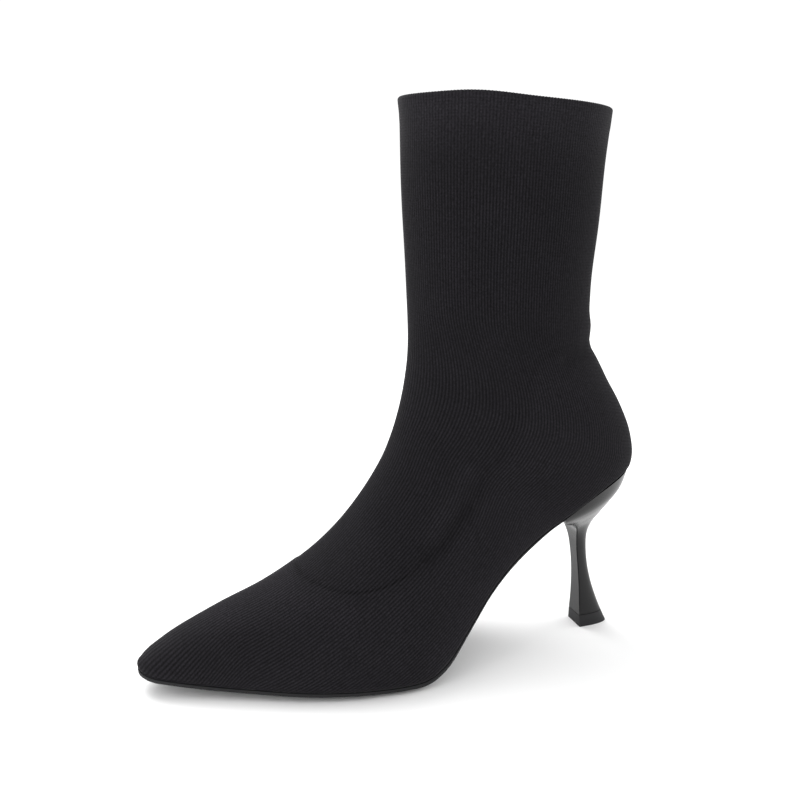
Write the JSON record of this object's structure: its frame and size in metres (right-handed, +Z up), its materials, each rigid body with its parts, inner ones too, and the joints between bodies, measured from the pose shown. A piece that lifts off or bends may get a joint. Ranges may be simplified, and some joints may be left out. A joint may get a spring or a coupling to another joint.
{
  "type": "sock boot",
  "caption": "Knitted sock ankle boot with a pointed toe, a thin sole and a flared stiletto heel.",
  "frame": {"origin": "middle of the heel's tread, on the floor", "axes": "-X from the heel towards the toe, -Y towards the outer side of the foot, +Z up the leg"},
  "size_m": [0.2374, 0.0774, 0.254],
  "materials": {
    "knit": "fine rib knit, black",
    "lining": "smooth lining, black",
    "sole_resin": "matte",
    "heel_lacquer": "gloss",
    "lift_rubber": "matte"
  },
  "bodies": {
    "root": {"upper": "knit", "insole": "lining", "outsole": "sole_resin", "heel": "heel_lacquer", "top_piece": "lift_rubber"}
  },
  "joints": []
}
